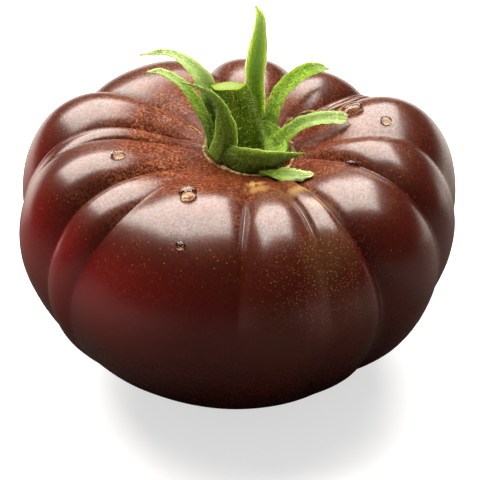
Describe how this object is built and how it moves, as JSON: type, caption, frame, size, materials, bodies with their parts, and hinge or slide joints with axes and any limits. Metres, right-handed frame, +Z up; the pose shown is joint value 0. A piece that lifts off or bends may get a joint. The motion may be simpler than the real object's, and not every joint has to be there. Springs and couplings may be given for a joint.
{
  "type": "ribbed heirloom tomato with calyx",
  "caption": "Ripe, dark, deeply ribbed heirloom tomato with its green calyx and cut stalk, resting on a small flat spot at the blossom end.",
  "frame": {"origin": "middle of the flat spot at the blossom end, on the surface that the tomato rests on", "axes": "+Z up through the fruit, the stalk and calyx on top; -Y towards the front; the upright sepal stands at the back, on +Y"},
  "size_m": [0.1038, 0.0984, 0.0927],
  "materials": {
    "skin": "glossy dark maroon skin, bronze and copper on the shoulders, fine golden speckles",
    "leaf": "downy green sepals with pale margins and tips",
    "stalk": "downy dark green stalk with a pale cut end"
  },
  "bodies": {
    "root": {"fruit": "skin", "calyx_base": "leaf", "stem": "stalk", "sepal_1": "leaf", "sepal_2": "leaf", "sepal_3": "leaf", "sepal_4": "leaf", "sepal_5": "leaf", "sepal_6": "leaf", "sepal_7": "leaf", "sepal_8": "leaf"}
  },
  "joints": []
}
